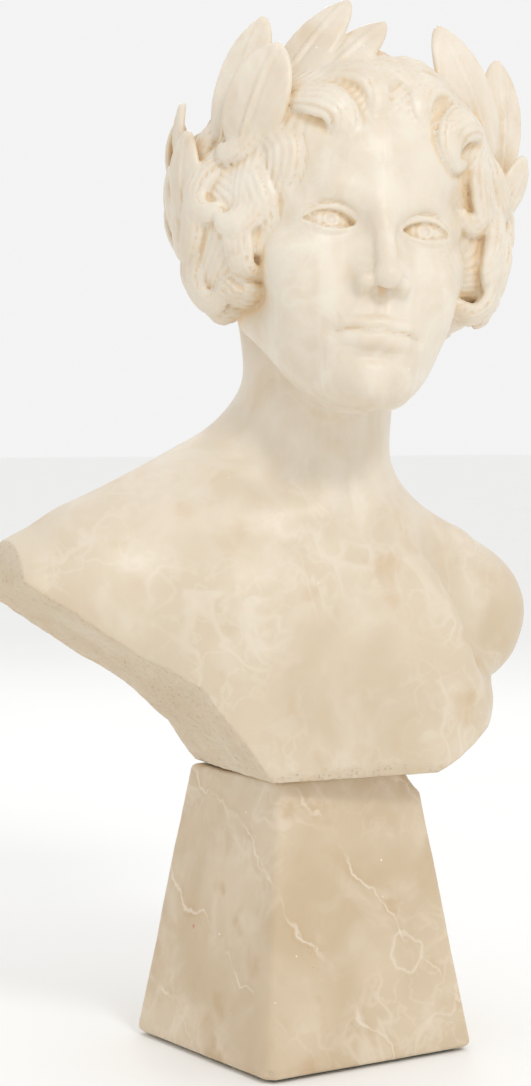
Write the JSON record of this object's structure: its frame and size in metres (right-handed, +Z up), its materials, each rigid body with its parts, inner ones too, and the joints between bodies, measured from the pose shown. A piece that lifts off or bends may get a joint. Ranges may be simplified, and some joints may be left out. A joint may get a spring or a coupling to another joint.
{
  "type": "carved bust on plinth",
  "caption": "Alabaster bust of a laurel-wreathed figure with curly hair, carved in one block, on a tapered square plinth it can turn on.",
  "frame": {"origin": "centre of the felt's underside, on the table", "axes": "+Z up along the rod, -Y towards the plinth's front, +X towards the figure's own left"},
  "size_m": [0.3014, 0.1898, 0.5553],
  "materials": {
    "cream_alabaster": "waxed, slightly translucent, with cloudy white veins",
    "honey_alabaster": "waxed, with thin white veins",
    "steel": "plain zinc-plated fastener",
    "lead": "dull soft sheet lead",
    "plaster": "set plaster",
    "felt": "dark green wool felt"
  },
  "bodies": {
    "plinth": {"plinth": "honey_alabaster", "felt_base": "felt", "lead_washer": "lead", "flat_washer": "steel"},
    "bust": {"bust": "cream_alabaster", "rod_anchor": "plaster", "centre_rod": "steel", "spring_washer": "steel", "hex_nut": "steel"}
  },
  "joints": [
    {"name": "bust_swivel", "type": "hinge", "parent": "plinth", "child": "bust", "pos_m": [0, 0, 0.151], "axis": [0, 0, 1], "continuous": true}
  ]
}
